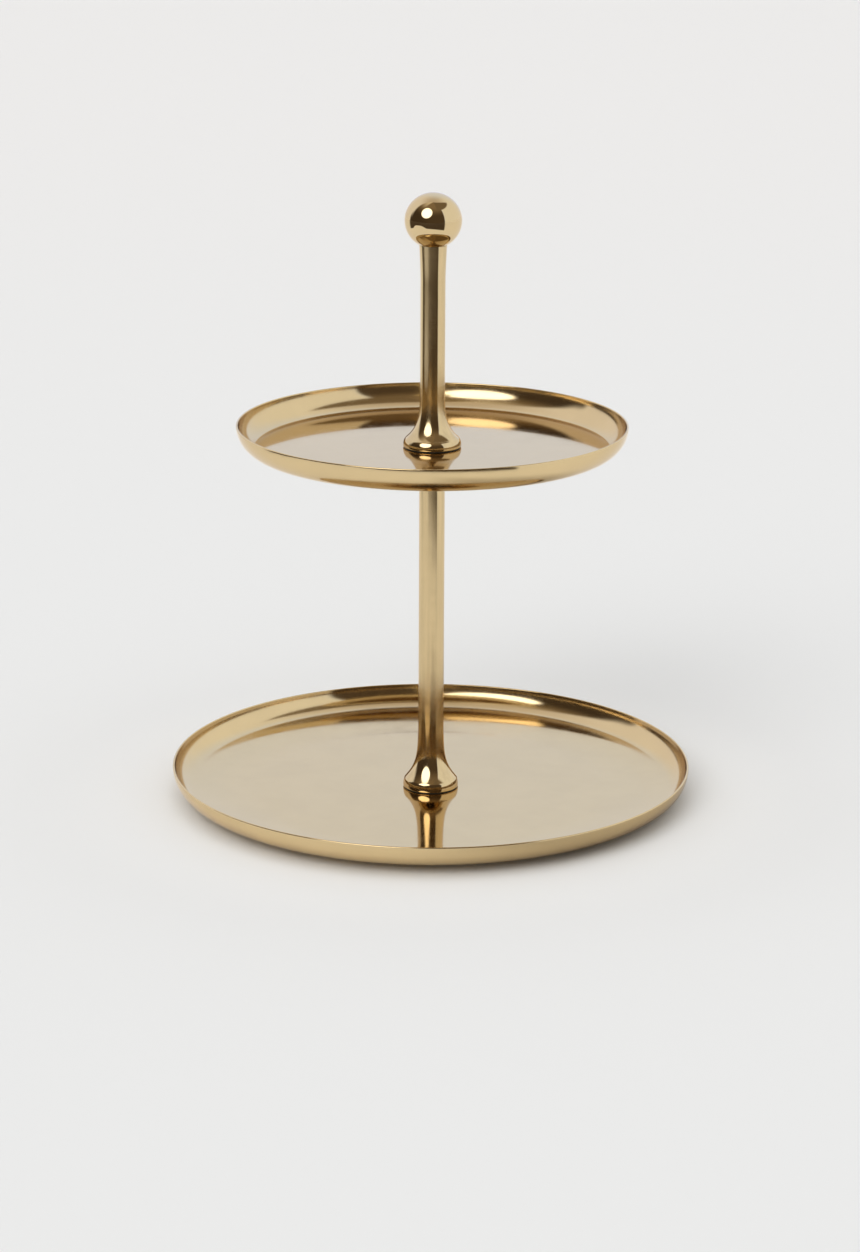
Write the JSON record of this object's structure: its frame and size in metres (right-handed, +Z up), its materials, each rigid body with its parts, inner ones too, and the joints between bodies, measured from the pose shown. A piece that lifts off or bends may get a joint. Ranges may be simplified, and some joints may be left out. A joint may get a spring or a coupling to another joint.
{
  "type": "tiered cake stand",
  "caption": "Tiered cake stand: round spun metal dishes on a turned column with flared feet and a ball knob; the tiers unscrew for storage.",
  "frame": {"origin": "on the table, under the middle of the stand", "axes": "+Z up along the column, -Y towards the viewer, +X to the right"},
  "size_m": [0.25, 0.25, 0.2921],
  "materials": {
    "dish_brass": "mirror-polished spun sheet under clear lacquer",
    "stem_brass": "polished turned bar, slightly satin",
    "knob_brass": "mirror-polished",
    "screw_steel": "zinc-plated",
    "washer_plastic": "thin soft plastic",
    "pad_rubber": "matt"
  },
  "bodies": {
    "base": {"lower_dish": "dish_brass", "base_screw": "screw_steel", "base_screw_washer": "screw_steel", "foot_pad_right_back": "pad_rubber", "foot_pad_left_back": "pad_rubber", "foot_pad_left_front": "pad_rubber", "foot_pad_right_front": "pad_rubber"},
    "column_washer": {"column_foot_washer": "washer_plastic"},
    "column": {"lower_column": "stem_brass"},
    "tier_washer": {"tier_washer": "washer_plastic"},
    "upper_dish": {"upper_dish": "dish_brass"},
    "handle_washer": {"handle_foot_washer": "washer_plastic"},
    "handle": {"handle_column": "stem_brass", "tier_stud": "screw_steel", "ball_knob": "knob_brass", "knob_stud": "screw_steel"}
  },
  "joints": [
    {"name": "column_rise", "type": "slide", "parent": "base", "child": "column_washer", "axis": [0, 0, 1], "range_m": [0, 0.008]},
    {"name": "column_turn", "type": "hinge", "parent": "column_washer", "child": "column", "pos_m": [0, 0, 0.00245], "axis": [0, 0, 1], "range_deg": [0, 2880]},
    {"name": "dish_turn", "type": "hinge", "parent": "column", "child": "tier_washer", "pos_m": [0, 0, 0.1699], "axis": [0, 0, 1], "continuous": true},
    {"name": "dish_lift", "type": "slide", "parent": "tier_washer", "child": "upper_dish", "axis": [0, 0, 1], "range_m": [0, 0.04]},
    {"name": "handle_rise", "type": "slide", "parent": "upper_dish", "child": "handle_washer", "axis": [0, 0, 1], "range_m": [0, 0.008]},
    {"name": "handle_turn", "type": "hinge", "parent": "handle_washer", "child": "handle", "pos_m": [0, 0, 0.17165], "axis": [0, 0, 1], "range_deg": [0, 2880]}
  ],
  "couplings": [
    {"joint": "column_turn", "follows": "column_rise", "rad_per_m": 6283.2},
    {"joint": "handle_turn", "follows": "handle_rise", "rad_per_m": 6283.2}
  ]
}
